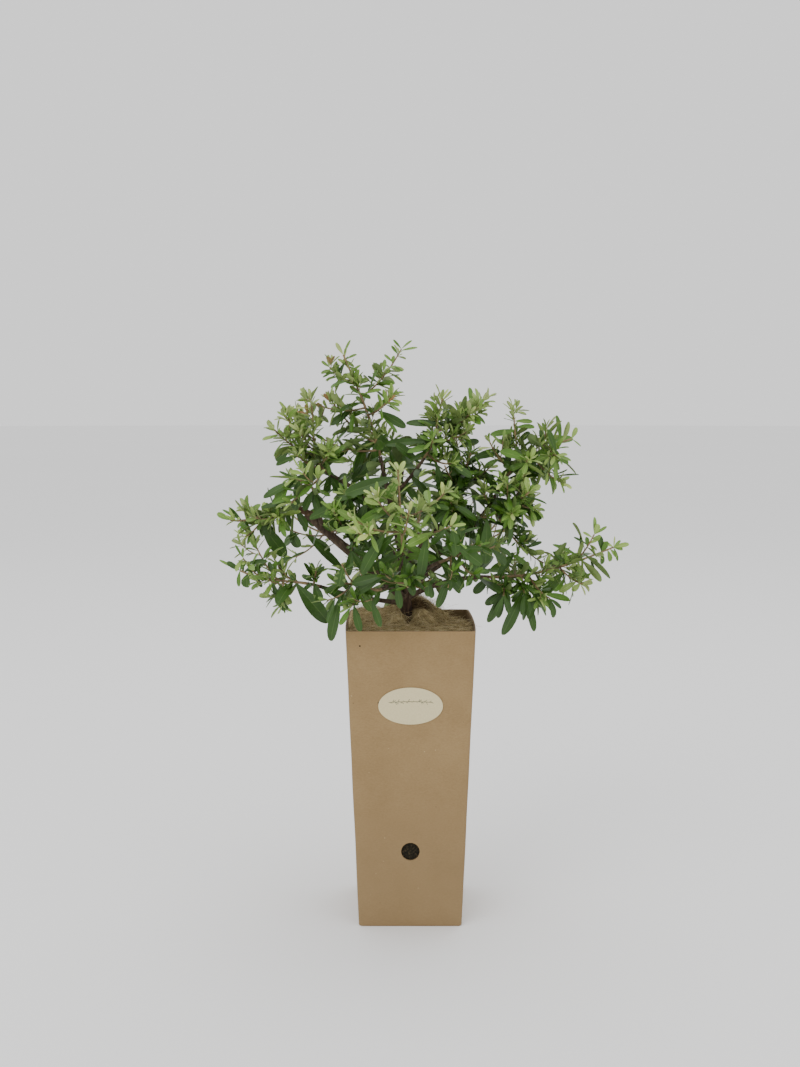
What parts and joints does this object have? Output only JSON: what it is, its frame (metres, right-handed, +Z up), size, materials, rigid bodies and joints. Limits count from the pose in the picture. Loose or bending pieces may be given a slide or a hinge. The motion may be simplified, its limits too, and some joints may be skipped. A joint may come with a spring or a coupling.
{
  "type": "potted firethorn shrub",
  "caption": "Young firethorn shrub with narrow evergreen leaves on spreading branches, in a tall tapering square board pot with an oval label and a round hole low in its front.",
  "frame": {"origin": "the middle of the pot's flat underside, on the surface it stands on", "axes": "+Z up; -Y is the front, with the label and the hole; +X is to the right of the front"},
  "size_m": [0.3328, 0.2595, 0.4708],
  "materials": {
    "pot_board": "uncoated grey-brown board with fine light and dark flecks, matt",
    "compost": "dark moist crumbs of compost, matt",
    "plant_fibre": "matted tan-olive plant fibre with loose paler hairs, matt",
    "label_card": "smooth cream card, slightly glossy",
    "bark": "grey-brown bark, fissured on the stem and smoother on the boughs, matt",
    "leaves": "dark bluish-green leathery leaves with a lighter midrib, semi-gloss",
    "young_leaves": "soft yellow-green young leaves, satin"
  },
  "bodies": {
    "root": {"pot": "pot_board", "compost": "compost", "fibre_mat": "plant_fibre", "label": "label_card", "trunk": "bark", "bough_leader": "bark", "bough_left": "bark", "bough_low_right": "bark", "bough_low_left": "bark", "bough_right": "bark", "bough_right_high": "bark", "bough_centre_high": "bark", "bough_upper_left": "bark", "bough_left_high": "bark", "bough_front": "bark", "bough_front_low": "bark", "bough_front_left": "bark", "bough_front_right": "bark", "bough_inner_left": "bark", "bough_inner_right": "bark", "bough_back": "bark", "bough_back_left": "bark", "bough_back_right": "bark", "bough_back_high": "bark", "bough_back_low": "bark", "foliage_top": "leaves", "foliage_upper_left": "leaves", "foliage_left_high": "leaves", "foliage_left": "leaves", "foliage_left_low": "leaves", "foliage_front_left": "leaves", "foliage_front_low": "leaves", "foliage_front": "young_leaves", "foliage_front_right": "leaves", "foliage_centre_high": "leaves", "foliage_right_high": "leaves", "foliage_right": "leaves", "foliage_right_low": "leaves", "foliage_inner_left": "leaves", "foliage_inner_right": "leaves", "foliage_back": "leaves", "foliage_back_left": "leaves", "foliage_back_right": "leaves", "foliage_back_high": "leaves", "foliage_back_low": "leaves"}
  },
  "joints": []
}
